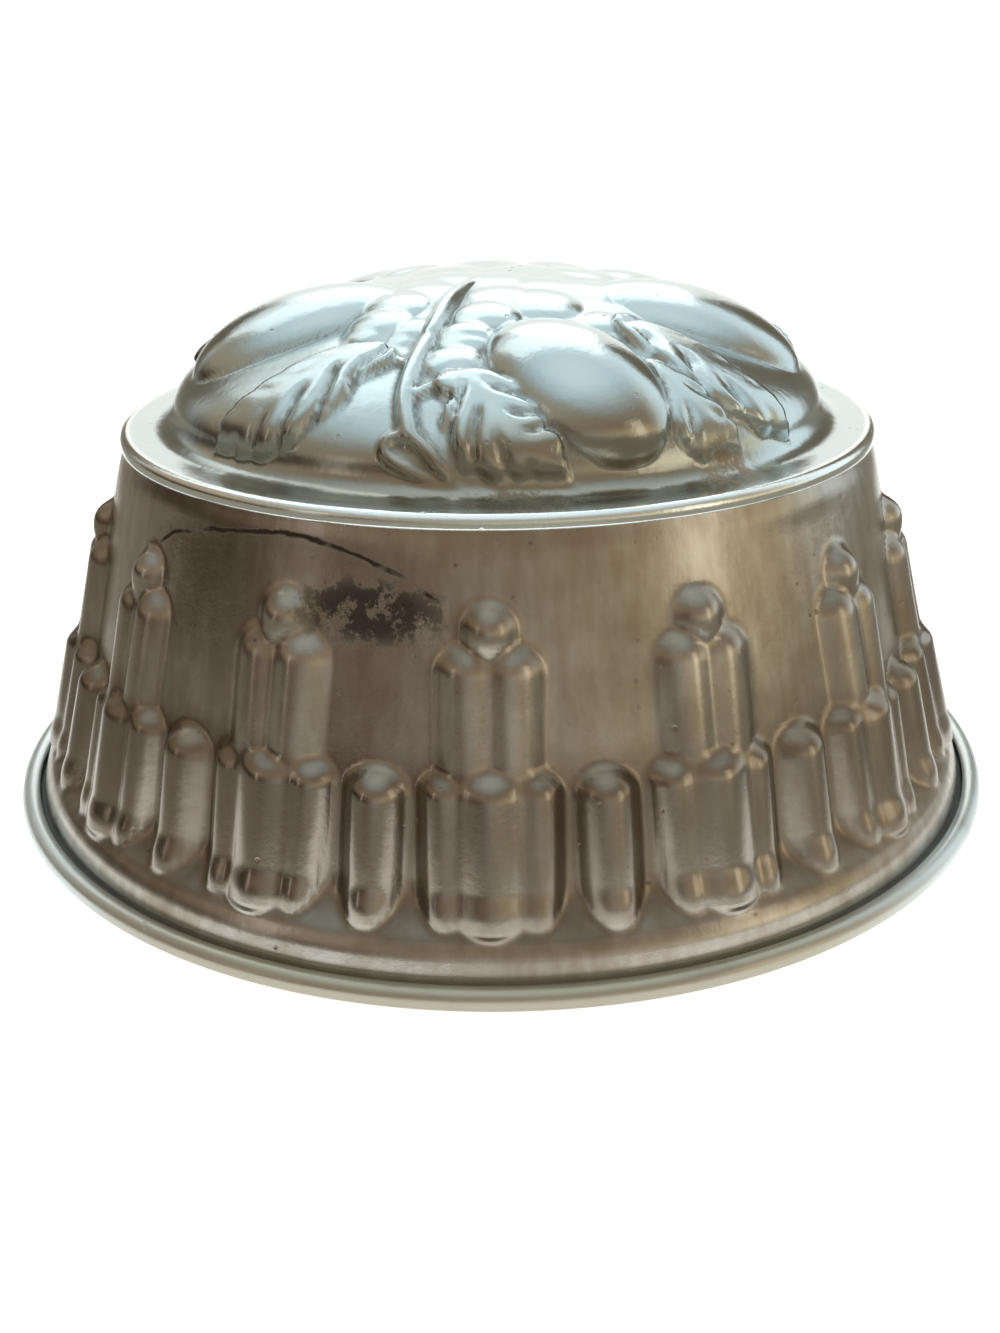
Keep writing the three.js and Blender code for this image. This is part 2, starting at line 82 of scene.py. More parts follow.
# shader sums written with plain operators
class Lead:
    def __init__(self, tree, socket=None):
        self.tree = tree
        self.socket = socket

    def plug(self, target, value):
        if isinstance(value, Lead):
            self.tree.links.new(value.socket, target)
        else:
            target.default_value = value

    def node(self, kind, settings=None, inputs=None, output=0):
        made = self.tree.nodes.new(kind)
        for name, value in (settings or {}).items():
            if name == "stops":
                self.setStops(made.color_ramp, value)
            elif name == "points":
                self.setPoints(made.mapping, value)
            else:
                setattr(made, name, value)
        for name, value in (inputs or {}).items():
            self.plug(made.inputs[name], value)
        return Lead(self.tree, made.outputs[output])

    def setStops(self, ramp, stops):
        while len(ramp.elements) < len(stops):
            ramp.elements.new(1.0)
        for element, (place, colour) in zip(ramp.elements, stops):
            element.position = place
            element.color = tuple(colour) + (1.0,) if len(colour) == 3 else colour

    def setPoints(self, mapping, points):
        curve = mapping.curves[0]
        while len(curve.points) < len(points):
            curve.points.new(0.5, 0.5)
        for point, place in zip(curve.points, points):
            point.location = place
        mapping.update()

    def math(self, operation, first, second=0.0):
        return self.node("ShaderNodeMath", {"operation": operation}, {0: first, 1: second})

    def __add__(self, other):
        return self.math("ADD", self, other)

    def __radd__(self, other):
        return self.math("ADD", other, self)

    def __sub__(self, other):
        return self.math("SUBTRACT", self, other)

    def __rsub__(self, other):
        return self.math("SUBTRACT", other, self)

    def __mul__(self, other):
        return self.math("MULTIPLY", self, other)

    def __rmul__(self, other):
        return self.math("MULTIPLY", other, self)

    def __truediv__(self, other):
        return self.math("DIVIDE", self, other)

    def __abs__(self):
        return self.math("ABSOLUTE", self)

    def clipped(self):
        return self.node("ShaderNodeClamp", {}, {"Value": self})

    def step(self, low, high):  # smooth 0 to 1 as the value goes from low to high
        return self.node("ShaderNodeMapRange", {"interpolation_type": "SMOOTHSTEP"},
                         {"Value": self, "From Min": low, "From Max": high})

    def parts(self, vector):
        node = self.node("ShaderNodeSeparateXYZ", {}, {"Vector": vector}).socket.node
        return [Lead(self.tree, output) for output in node.outputs]

    def blend(self, first, second):  # two colours mixed by this value
        settings = {"data_type": "RGBA", "clamp_factor": True}
        return self.node("ShaderNodeMix", settings, {0: self, 6: first, 7: second}, 2)


def rgb(red, green, blue):  # a colour as it looks on the screen, 0 to 255
    return tuple(((level / 255 + 0.055) / 1.055) ** 2.4 for level in (red, green, blue)) + (1.0,)


# smooth forms, on arrays of points in millimetres
def ease(value, low, high):
    share = np.clip((value - low) / (high - low), 0.0, 1.0)
    return share * share * (3.0 - 2.0 * share)


def softMax(first, second, blendWidth):
    share = np.clip(0.5 + 0.5 * (first - second) / blendWidth, 0.0, 1.0)
    return second + (first - second) * share + blendWidth * share * (1.0 - share)


def roundTop(distance, fullness=0.62):  # 1 in the middle, 0 at distance 1
    return np.clip(1.0 - distance * distance, 0.0, 1.0) ** fullness


def smoothLine(points, stepsPerSpan=6):
    corners = np.array([points[0]] + list(points) + [points[-1]], dtype=float)
    line = []
    for a, b, c, d in zip(corners, corners[1:], corners[2:], corners[3:]):
        for step in range(stepsPerSpan):
            t = step / stepsPerSpan
            line.append(0.5 * (2 * b + (c - a) * t + (2 * a - 5 * b + 4 * c - d) * t ** 2
                               + (3 * b - a - 3 * c + d) * t ** 3))
    line.append(corners[-1])
    return np.array(line)


def alongLine(x, y, line):  # share of the way along, distance and side of the nearest place
    spans = np.linalg.norm(np.diff(line, axis=0), axis=1)
    total = spans.sum()
    done = 0.0
    nearest = np.full(x.shape, 1e9)
    share = np.zeros(x.shape)
    side = np.zeros(x.shape)
    for (ax, ay), (bx, by), span in zip(line[:-1], line[1:], spans):
        ux, uy = (bx - ax) / span, (by - ay) / span
        t = np.clip((x - ax) * ux + (y - ay) * uy, 0.0, span)
        distance = np.hypot(x - ax - ux * t, y - ay - uy * t)
        closer = distance < nearest
        nearest = np.where(closer, distance, nearest)
        share = np.where(closer, (done + t) / total, share)
        side = np.where(closer, np.sign(ux * (y - ay) - uy * (x - ax)), side)
        done += span
    return share, nearest, side


def bendCurve(start, bend, end, steps):  # a parabola from start to end, without its first point
    shares = np.linspace(0.0, 1.0, steps)[1:]
    return [tuple((1 - t) ** 2 * start + 2 * t * (1 - t) * bend + t * t * end) for t in shares]


# a pressing's outer face in the meridian plane: run, radius, height and normal, rounded over the bends
def measuredCourse(points, samples, bendSpan):
    line = np.array(points)
    runs = np.concatenate([[0.0], np.cumsum(np.linalg.norm(np.diff(line, axis=0), axis=1))])
    run = np.linspace(0.0, runs[-1], samples)
    radius = np.interp(run, runs, line[:, 0])
    height = np.interp(run, runs, line[:, 1])
    kernel = np.ones(bendSpan) / bendSpan
    padded = [np.pad(np.gradient(values, run), bendSpan // 2, mode="edge") for values in (radius, height)]
    tangentR, tangentZ = (np.convolve(values, kernel, "valid") for values in padded)
    length = np.hypot(tangentR, tangentZ)
    course = {
        "run": run,
        "radius": radius,
        "height": height,
        "normalR": -tangentZ / length,
        "normalZ": tangentR / length,
    }
    return course, runs


def onCourse(course, run):
    names = ("radius", "height", "normalR", "normalZ")
    return [np.interp(run, course["run"], course[name]) for name in names]


def rowRuns(stops, counts):  # rows from stop to stop, closer where the shape is finer
    spans = [np.linspace(low, high, count) for low, high, count in zip(stops, stops[1:], counts)]
    return np.concatenate([spans[0]] + [span[1:] for span in spans[1:]]).tolist()


# a pressed sheet starts as a flat disc or ring of two skins, which is then pushed into shape
def flatSheet(name, startRun, outerRuns, innerRuns, turns):
    rows = [(run, mm) for run in outerRuns] + [(run, -mm) for run in reversed(innerRuns)]
    if startRun > 0:
        rows.append(rows[0])  # a ring closes on itself, a disc on its middle
    lastRow, lastTurn = len(rows) - 1, len(turns) - 1
    form = bmesh.new()
    bmesh.ops.create_grid(form, x_segments=lastRow, y_segments=lastTurn, size=1.0)
    for vert in form.verts:
        run, level = rows[round((vert.co.x + 1.0) / 2.0 * lastRow)]
        turn = turns[round((vert.co.y + 1.0) / 2.0 * lastTurn)]
        reach = (startRun + run) * mm
        vert.co = (reach * math.sin(turn), -reach * math.cos(turn), level)
    bmesh.ops.remove_doubles(form, verts=form.verts[:], dist=0.01 * mm)
    bmesh.ops.recalc_face_normals(form, faces=form.faces[:])
    mesh = bpy.data.meshes.new(name)
    form.to_mesh(mesh)
    form.free()
    mesh.shade_smooth()
    places = np.empty(len(mesh.vertices) * 3)
    mesh.vertices.foreach_get("co", places)
    x, y, level = (places.reshape(-1, 3) / mm).T
    sheet = {
        "mesh": mesh,
        "azimuth": np.arctan2(x, -y),
        "run": np.hypot(x, y) - startRun,
        "inside": level < 0.0,
    }
    return sheet


def pushSheet(sheet, radius, height, attributes):
    azimuth = sheet["azimuth"]
    places = np.stack([radius * np.sin(azimuth), -radius * np.cos(azimuth), height], 1) * mm
    sheet["mesh"].vertices.foreach_set("co", places.ravel())
    for name, values in attributes.items():
        layer = sheet["mesh"].attributes.new(name, "FLOAT", "POINT")
        layer.data.foreach_set("value", values.astype(np.float32))
    sheet["mesh"].update()


def addPiece(mesh, node, material):
    piece = bpy.data.objects.new(mesh.name, mesh)
    scene.collection.objects.link(piece)
    mesh.materials.append(material)
    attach(piece, "root")
    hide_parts(node)
    return piece


# the wall: a cone with columns pressed out of it, a skirt, and a roll round the wire
wall = {
    "sheet": 0.5,
    "topRadius": 69.0,
    "footRadius": 83.9,
    "topHeight": 69.2,
    "edgeHeight": 67.7,
    "footHeight": 8.0,
    "clusters": 14,
    "ball": {"radius": 4.8, "height": 53.0, "relief": 5.2, "tail": 0.66},
    "upper": {"halfWidth": 4.9, "spacing": 8.0, "top": 52.0, "endLength": 5.4, "relief": 5.5},
    "lower": {"halfWidth": 5.2, "spacing": 7.8, "sideHalf": 3.8, "top": 33.4, "endLength": 4.6,
              "relief": 7.0},
    "short": {"halfWidth": 5.5, "top": 32.8, "endLength": 4.8, "relief": 6.1},
    "cove": [(0.0, 15.5), (0.5, 11.4), (4.2, 9.3), (5.2, 8.6), (5.6, 6.4)],  # out from the cone, and height
    "plinth": {"swell": 0.6, "proud": (1.5, 4.0), "top": (11.0, 15.0), "bottom": (8.2, 9.8)},
    "deposit": {"from": (0.4, 2.2), "to": (4.6, 5.4), "past": (-0.5, 1.5), "depth": 1.7},  # old dirt
    "fillet": {"ball": 1.26, "pair": 2.52, "tier": 1.8, "skirt": 0.9},
    "ribShare": 0.55,  # the rest of a cluster's height is one broad swelling under its ribs
    "sideShare": 0.88,  # the outer ribs of a cluster stand a little lower than the middle one
    "seamPitch": 7,
    "seamStep": 0.45,
    "seamEdge": (-0.2, 0.2),
    "seamRun": (1.0, 9.0),
    "dents": {"broad": 0.22, "broadRound": (5.0, 1.3), "broadUp": (0.11, 0.6),
              "small": 0.12, "smallRound": 11.0, "smallUp": 0.07},
    "plainTop": (1.0, 5.0),  # no relief under the flange
    "dentTop": (2.0, 8.0),
    "coneFade": 9.0,
    "rollRadius": 93.1,
    "rollInner": 1.4,
    "lip": (90.9, 2.75),
    "rollTurn": (188.0, 500.0),
    "flatStart": 50.0,
    "outerRows": (64, 26, 26),
    "innerRows": (40, 16, 26),
    "stepsRound": 14 * 40,
}
wallSlope = (wall["footRadius"] - wall["topRadius"]) / (wall["edgeHeight"] - wall["footHeight"])
pitch = 2 * math.pi / wall["clusters"]
seamAzimuth = (wall["seamPitch"] + 0.5) * pitch - 2 * math.pi


def wallRadius(height):
    return wall["topRadius"] + (wall["edgeHeight"] - height) * wallSlope


def ribForm(across, height, rib, halfWidth=None):  # a long rib with a rounded head
    head = np.clip((height - rib["top"] + rib["endLength"]) / rib["endLength"], 0.0, None)
    return roundTop(np.hypot(across / (halfWidth or rib["halfWidth"]), head))


def columnRelief(azimuth, height):
    turns = azimuth / pitch
    radius = wallRadius(height)
    fromCluster = (turns - np.round(turns)) * pitch * radius
    fromShort = (turns - np.floor(turns) - 0.5) * pitch * radius
    ball, upper, lower, short = wall["ball"], wall["upper"], wall["lower"], wall["short"]
    fillet = wall["fillet"]
    up = height - ball["height"]
    up = np.where(up < 0.0, ball["tail"] * up, up)  # the ball trails off between the two ribs below it
    relief = ball["relief"] * roundTop(np.hypot(fromCluster, up) / ball["radius"])
    pair = np.zeros_like(relief)
    for side in (-1, 1):
        form = upper["relief"] * ribForm(fromCluster - side * upper["spacing"] / 2, height, upper)
        pair = softMax(pair, form, fillet["pair"])
    broad = upper["relief"] * ribForm(fromCluster, height, upper, upper["spacing"] / 2 + upper["halfWidth"])
    pair = wall["ribShare"] * pair + (1.0 - wall["ribShare"]) * broad
    relief = softMax(relief, pair, fillet["ball"])
    tier = np.zeros_like(relief)
    for place in (-1, 0, 1):
        rise = lower["relief"] * (wall["sideShare"] if place else 1.0)
        halfWidth = lower["sideHalf"] if place else lower["halfWidth"]
        form = rise * ribForm(fromCluster - place * lower["spacing"], height, lower, halfWidth)
        tier = softMax(tier, form, fillet["tier"])
    broad = lower["relief"] * ribForm(fromCluster, height, lower, lower["spacing"] + lower["sideHalf"])
    tier = wall["ribShare"] * tier + (1.0 - wall["ribShare"]) * broad
    relief = softMax(relief, tier, fillet["tier"])
    seamTurn = np.floor(turns) % wall["clusters"] == wall["seamPitch"]
    single = np.where(seamTurn, 0.0, short["relief"] * ribForm(fromShort, height, short))
    relief = softMax(relief, single, fillet["tier"]) - fillet["tier"]
    return softMax(relief, np.zeros_like(relief), fillet["tier"])


def wallHollow(azimuth, height, here, reach=2.2):  # how deep a place lies among its neighbours
    around = 0.0
    turns = [k * math.pi / 3 for k in range(6)]
    for turn in turns:
        across = reach * math.cos(turn) / wallRadius(height)
        around = around + columnRelief(azimuth + across, height + reach * math.sin(turn))
    return around / len(turns) - here


def wallDents(azimuth, height):  # the sheet's slight unevenness
    dents = wall["dents"]
    (timesRound, shiftRound), (timesUp, shiftUp) = dents["broadRound"], dents["broadUp"]
    broad = dents["broad"] * np.sin(azimuth * timesRound + shiftRound)
    broad = broad * np.sin(height * timesUp + shiftUp)
    return broad + dents["small"] * np.sin(azimuth * dents["smallRound"] - height * dents["smallUp"])


def wallCourse():
    cove = [np.array((wallRadius(height) + out, height)) for out, height in wall["cove"]]
    heights = np.linspace(wall["topHeight"], wall["cove"][0][1], 60)
    points = [(wallRadius(height), height) for height in heights]
    foot = len(points) - 1
    for start, bend, end in (cove[:3], cove[2:]):  # hollow at the foot of the cone, then round into the skirt
        points += bendCurve(start, bend, end, 12)
    lip = len(points)
    points.append(wall["lip"])
    inner = wall["rollInner"]
    rollHeight = inner + wall["sheet"]
    for turn in np.radians(np.linspace(*wall["rollTurn"], 52)):
        points.append((wall["rollRadius"] + inner * math.cos(turn), rollHeight + inner * math.sin(turn)))
    course, runs = measuredCourse(points, samples=900, bendSpan=9)
    course["footRun"], course["lipRun"] = runs[foot], runs[lip]
    return course


def buildWall(material):
    course = wallCourse()
    footRun, lipRun, endRun = course["footRun"], course["lipRun"], course["run"][-1]
    stops = (0.0, footRun, lipRun, endRun)
    outerRuns, innerRuns = rowRuns(stops, wall["outerRows"]), rowRuns(stops, wall["innerRows"])
    turns = np.linspace(0.0, 2 * math.pi, wall["stepsRound"] + 1)
    sheet = flatSheet("wallPress", wall["flatStart"], outerRuns, innerRuns, turns)
    run, azimuth = sheet["run"], sheet["azimuth"]
    radius, height, normalR, normalZ = onCourse(course, run)
    plinth, deposit = wall["plinth"], wall["deposit"]
    onCone = 1.0 - ease(run, footRun, footRun + wall["coneFade"])
    onWall = ease(run, *wall["plainTop"]) * ease(height, *plinth["bottom"])
    out = np.where(run > footRun, radius - wallRadius(height), 0.0)  # of the skirt, from the cone
    column = columnRelief(azimuth, height)
    behind, past = deposit["past"]
    valley = ease(out, *deposit["from"]) * (1.0 - ease(out, *deposit["to"]))
    valley = valley * (1.0 - ease(column, out + behind, out + past))
    hollow = wallHollow(azimuth, height, column) * onCone + deposit["depth"] * valley
    swell = plinth["swell"] * ease(column, *plinth["proud"]) * (1.0 - ease(height, *plinth["top"]))
    relief = softMax(column + swell - out, np.zeros_like(column), wall["fillet"]["skirt"]) * onWall
    fromSeam = np.angle(np.exp(1j * (azimuth - seamAzimuth))) * radius
    lap = wall["seamStep"] * ease(fromSeam, *wall["seamEdge"]) * (1.0 - ease(fromSeam, *wall["seamRun"]))
    skin = (lap + wallDents(azimuth, height)) * onCone * ease(run, *wall["dentTop"])
    skin = skin - np.where(sheet["inside"], wall["sheet"], 0.0)
    tilt = math.atan(wallSlope)
    newRadius = radius + relief * math.cos(tilt) + skin * normalR
    newHeight = height + relief * math.sin(tilt) + skin * normalZ
    pushSheet(sheet, newRadius, newHeight, {"hollow": hollow, "relief": relief})
    return addPiece(sheet["mesh"], "side_wall", material)


# the crown: a low dome of fruit and leaves, a cove, a ledge and a flange
crown = {
    "sheet": 0.5,
    "domeRadius": 60.4,
    "domeFoot": 70.5,
    "domeRise": 22.0,
    "domeCut": math.radians(80),  # the cove cuts the dome off a little above its foot
    "ledgeInner": 64.6,
    "ledgeHeight": 70.0,
    "ledgeRound": 1.4,
    "flangeRadius": 69.8,
    "flangeEdge": 67.7,
    "frontHalf": math.radians(102),  # the side that the picture shows has the finer mesh
    "frontSteps": 340,
    "backSteps": 160,
    "middleRun": 10.0,
    "coveRun": 6.0,
    "outerRows": (10, 96, 24),
    "innerRows": (46, 14),
    "reliefEnd": (-4.0, 5.0),  # the relief dies away across the dome's foot
}

# laid out on the dome as if it were unrolled flat, in millimetres from its middle, the front being -Y
boss = {"reach": 36.0, "relief": 2.6, "fullness": 0.7}
crownFullness = 0.6  # of fruit, buds and stems
crownFillet = {"bud": 0.3, "fruit": 0.8, "stem": 0.6}
leafShape = {
    "wave": (0.88, 0.11),  # how much of a half wave its outline follows, and where that starts
    "swell": 0.75,
    "lobeLean": 1.1,
    "lobeStagger": 0.3,
    "lobeFullness": 0.6,
    "lobeReach": (0.84, 0.22),  # the outline between the lobes, and what a lobe adds
    "leastWidth": 0.05,
    "tipFrom": (0.72, 1.0),
    "tipTaper": 0.6,
    "grooveFrom": (0.6, 2.6),  # away from the vein
    "grooveDepth": 0.55,
    "edgeSlope": 0.35,
}
stemShape = {"riseEnd": 0.4, "leastWidth": 0.4}
fruits = [
    {"centre": (-35.5, -12.5), "along": (-0.985, -0.17), "half": (21, 13.5), "relief": 5.7, "taper": 0.1},
    {"centre": (13, -45.5), "along": (0.63, -0.78), "half": (19, 12.5), "relief": 6.4, "taper": 0.05},
    {"centre": (35.5, -11), "along": (0.98, -0.18), "half": (21, 13.5), "relief": 5.5, "taper": 0.0},
    {"centre": (31, 36), "along": (0.65, 0.76), "half": (20, 13), "relief": 4.4, "taper": 0.1},
    {"centre": (-26, 39), "along": (-0.55, 0.83), "half": (20, 13), "relief": 4.4, "taper": 0.1},
]
leaves = [
    {"vein": [(-20, -38), (-26, -39), (-32.5, -42.5), (-41, -44.5), (-52, -43)], "halfWidth": (10.5, 7.5),
     "relief": 2.8, "pitch": 6.6, "lobes": (1.0, 0.15)},
    {"vein": [(-7, -48.5), (-4, -49.5), (-2, -53), (2, -60), (8, -63.5), (13, -67)], "halfWidth": (7.5, 9.5),
     "relief": 2.8, "pitch": 5.6, "lobes": (0.8, 1.0)},
    {"vein": [(22, -28), (31, -34), (40, -39.5), (54, -40)], "halfWidth": (6.0, 7.5),
     "relief": 2.8, "pitch": 8.0, "lobes": (0.1, 0.7)},
    {"vein": [(26, -41), (30, -46), (36, -51), (46, -52)], "halfWidth": (6.0, 7.0),
     "relief": 2.4, "pitch": 6.0, "lobes": (0.5, 0.8)},
    {"vein": [(38, 4), (47, 9), (55, 13), (61, 15)], "halfWidth": (8, 8),
     "relief": 2.6, "pitch": 6.4, "lobes": (1.0, 1.0)},
    {"vein": [(2, 32), (3, 42), (2, 52), (-2, 61)], "halfWidth": (8, 8),
     "relief": 2.6, "pitch": 6.4, "lobes": (1.0, 1.0)},
    {"vein": [(-38, 12), (-47, 15), (-55, 14), (-61, 12)], "halfWidth": (8, 8),
     "relief": 2.6, "pitch": 6.4, "lobes": (1.0, 1.0)},
]
stems = [
    {"path": [(-1, -4), (-5.6, -14), (-9.5, -29), (-13.3, -42.5), (-14.6, -51.5), (-14, -58)],
     "halfWidth": 1.9, "relief": 2.4, "start": 0.2},
    {"path": [(-14, -42), (-18, -38.5), (-23, -37.5), (-28, -39.5), (-34, -43), (-41, -44.5), (-50, -44)],
     "halfWidth": 1.1, "relief": 1.6, "start": 1.0},
    {"path": [(-15, -51.5), (-12, -49.5), (-8, -47.5), (-5, -48.5), (-2, -52.7), (2, -60), (8, -63.5),
              (13, -67)],
     "halfWidth": 1.2, "relief": 1.8, "start": 1.0},
    {"path": [(-14, -58), (-11, -61.5), (-7.5, -67)], "halfWidth": 1.4, "relief": 2.2, "start": 1.0},
    {"path": [(-14, -58), (-17.5, -58), (-18, -60.5), (-13.5, -64.5), (-7.5, -67)],
     "halfWidth": 1.2, "relief": 1.9, "start": 1.0},
]
buds = [  # place, reach and height
    (-20, -27, 6.5, 2.2), (-17, -20, 6.5, 2.0), (-13, -13, 6.5, 1.2), (-9, -6, 6.5, 1.0), (-7, -42, 5.5, 2.2),
    (-5, -35, 5.5, 2.2), (-1.5, -28, 6.0, 2.0), (1, -20, 6.5, 1.6), (8, -22, 7.0, 1.6), (10, -12, 7.0, 1.1),
    (17, -12, 7.0, 1.3), (0, -8, 6.5, 0.9), (-10, 6, 8.0, 0.9), (6, 4, 8.0, 0.8), (16, 4, 7.5, 1.1),
    (-2, 14, 8.0, 1.3), (12, 16, 7.5, 1.4), (-16, 14, 7.0, 1.5), (19, -28, 5.5, 1.6), (-14, -31, 5.0, 1.6),
]


def fruitForm(x, y, fruit):
    cx, cy = fruit["centre"]
    ux, uy = fruit["along"]
    length, width = fruit["half"]
    along = ((x - cx) * ux + (y - cy) * uy) / length
    across = ((y - cy) * ux - (x - cx) * uy) / (width * (1.0 + fruit["taper"] * along))
    return fruit["relief"] * roundTop(np.hypot(along, across), crownFullness)


def leafForm(x, y, leaf):  # lobes that lean towards the tip, with a groove between each two
    line = smoothLine(leaf["vein"])
    length = np.linalg.norm(np.diff(line, axis=0), axis=1).sum()
    share, distance, side = alongLine(x, y, line)
    leftSide = side > 0
    halfWidth = np.where(leftSide, *leaf["halfWidth"])
    lobed = np.where(leftSide, *leaf["lobes"])
    waveShare, waveStart = leafShape["wave"]
    wave = np.sin(math.pi * np.clip(share * waveShare + waveStart, 0.0, 1.0))
    width = halfWidth * wave ** leafShape["swell"]
    lean = share * length - leafShape["lobeLean"] * distance
    lobe = (lean / leaf["pitch"] + leafShape["lobeStagger"] * side) % 1.0
    bulge = 1.0 - lobed * (1.0 - np.abs(np.sin(math.pi * lobe)) ** leafShape["lobeFullness"])
    width = width * (1.0 - leafShape["tipTaper"] * ease(share, *leafShape["tipFrom"]))
    between, lobeAdds = leafShape["lobeReach"]
    edge = np.maximum(width * (between + lobeAdds * bulge), leafShape["leastWidth"])
    inside = np.clip(1.0 - distance / edge, 0.0, 1.0)
    groove = (1.0 - bulge) * ease(distance, *leafShape["grooveFrom"])
    rise = leaf["relief"] * ease(inside, 0.0, leafShape["edgeSlope"])
    return rise * (1.0 - leafShape["grooveDepth"] * groove)


def stemForm(x, y, stem):
    share, distance, _ = alongLine(x, y, smoothLine(stem["path"]))
    rise = stem["start"] + (1.0 - stem["start"]) * ease(share, 0.0, stemShape["riseEnd"])  # low at first
    thin = stemShape["leastWidth"]
    width = stem["halfWidth"] * (thin + (1.0 - thin) * rise)
    return stem["relief"] * rise * roundTop(distance / width, crownFullness)


def crownRelief(x, y):
    middle = boss["relief"] * roundTop(np.hypot(x, y) / boss["reach"], boss["fullness"])
    relief = np.zeros_like(x)
    for leaf in leaves:
        relief = np.maximum(relief, leafForm(x, y, leaf))
    for bx, by, reach, height in buds:
        bud = height * roundTop(np.hypot(x - bx, y - by) / reach, crownFullness)
        relief = softMax(relief, bud, crownFillet["bud"])
    relief = relief + middle
    for fruit in fruits:
        relief = softMax(relief, fruitForm(x, y, fruit), crownFillet["fruit"])
    for stem in stems:
        relief = softMax(relief, stemForm(x, y, stem) + middle, crownFillet["stem"])
    return relief


def crownHollow(x, y):  # how deep a place lies among its neighbours, from a grid over the whole crown
    reach, cell, span = 76.0, 0.4, 9
    ticks = np.arange(-reach, reach + cell, cell)
    shape = crownRelief(*np.meshgrid(ticks, ticks))
    kernel = np.ones(span) / span
    around = np.apply_along_axis(np.convolve, 0, shape, kernel, "same")
    around = np.apply_along_axis(np.convolve, 1, around, kernel, "same")
    column = np.clip(np.rint((x + reach) / cell).astype(int), 0, len(ticks) - 1)
    row = np.clip(np.rint((y + reach) / cell).astype(int), 0, len(ticks) - 1)
    return (around - shape)[row, column]


def crownCourse():
    a, b = crown["domeRadius"], crown["domeRise"]
    turns = np.linspace(0.0, crown["domeCut"], 60)
    points = [(a * math.sin(turn), crown["domeFoot"] + b * math.cos(turn)) for turn in turns]
    foot = len(points) - 1
    ledge = np.array((crown["ledgeInner"], crown["ledgeHeight"]))
    bend = np.array((crown["domeRadius"], crown["ledgeHeight"]))
    points += bendCurve(np.array(points[foot]), bend, ledge, 16)
    rounding = crown["ledgeRound"]
    for turn in np.linspace(math.pi / 2, 0.0, 12):
        points.append((crown["flangeRadius"] - rounding + rounding * math.cos(turn),
                       crown["ledgeHeight"] - rounding + rounding * math.sin(turn)))
    points.append((crown["flangeRadius"], crown["flangeEdge"]))
    course, runs = measuredCourse(points, samples=1200, bendSpan=15)
    course["footRun"] = runs[foot]
    return course


def buildCrown(material):
    course = crownCourse()
    footRun, endRun = course["footRun"], course["run"][-1]
    coveRun = footRun + crown["coveRun"]
    outerRuns = rowRuns((0.0, crown["middleRun"], coveRun, endRun), crown["outerRows"])
    innerRuns = rowRuns((0.0, coveRun, endRun), crown["innerRows"])
    half = crown["frontHalf"]
    front = np.linspace(-half, half, crown["frontSteps"] + 1)
    back = np.linspace(half, 2 * math.pi - half, crown["backSteps"] + 1)
    sheet = flatSheet("crownPress", 0.0, outerRuns, innerRuns, np.concatenate([front, back[1:]]))
    run, azimuth = sheet["run"], sheet["azimuth"]
    radius, height, normalR, normalZ = onCourse(course, run)
    normalR = np.where(run < 0.01, 0.0, normalR)  # the very middle goes straight up
    turned = azimuth - photoCamera["azimuth"]
    x, y = run * np.sin(turned), -run * np.cos(turned)
    onDome = 1.0 - ease(run - footRun, *crown["reliefEnd"])
    shape = crownRelief(x, y)
    hollow = crownHollow(x, y) * onDome
    lift = shape * onDome - np.where(sheet["inside"], crown["sheet"], 0.0)
    pushSheet(sheet, np.maximum(radius + lift * normalR, 0.0), height + lift * normalZ,
              {"hollow": hollow, "relief": shape * onDome})
    return addPiece(sheet["mesh"], "crown", material)


# old tin: a bright worn coat, brown patina, dirt in the hollows, fine scratches and pits
wallTin = {
    "bright": rgb(192, 189, 182),
    "patina": rgb(158, 147, 133),
    "dirt": rgb(66, 53, 40),
    "dirtRight": rgb(112, 96, 56),  # olive on the right-hand side
    "patinaShare": 0.6,
    "roughness": 0.22,
    "dirtFrom": (0.45, 1.9),
    "dirtShare": 0.6,
    "bump": 0.2,
}
crownTin = {
    "bright": rgb(198, 212, 214),
    "patina": rgb(180, 183, 177),
    "dirt": rgb(74, 60, 46),
    "dirtRight": rgb(92, 74, 50),
    "patinaShare": 0.3,
    "roughness": 0.16,
    "dirtFrom": (0.08, 0.55),
    "dirtShare": 0.6,
    "bump": 0.3,
}
tinWear = {
    "clouds": (22.0, 5.0),  # scale, detail and roughness of each noise
    "blotches": (90.0, 6.0, 0.65),
    "ripples": (280.0, 4.0),
    "grain": (900.0, 4.0, 0.7),
    "streaks": (420.0, 3.0, 0.5),
    "streakStretch": (1.0, 1.0, 0.08),  # long from top to bottom
    "pitScale": 300.0,
    "pitReach": 0.16,
    "pitEdge": 0.08,
    "pitGroups": (0.52, 0.66),
    "patinaFrom": (0.35, 0.85),
    "patinaMiddle": 0.6,
    "wornFrom": (2.2, 4.8),
    "wornShare": 0.45,
    "cloudFrom": (0.3, 0.7),
    "dirtRightFrom": (0.0, 0.05),
    "bumpDepth": 0.0006,
}


def startMaterial(name):
    material = bpy.data.materials.new(name)
    material.use_nodes = True
    tree = material.node_tree
    return material, Lead(tree), tree.nodes["Principled BSDF"]


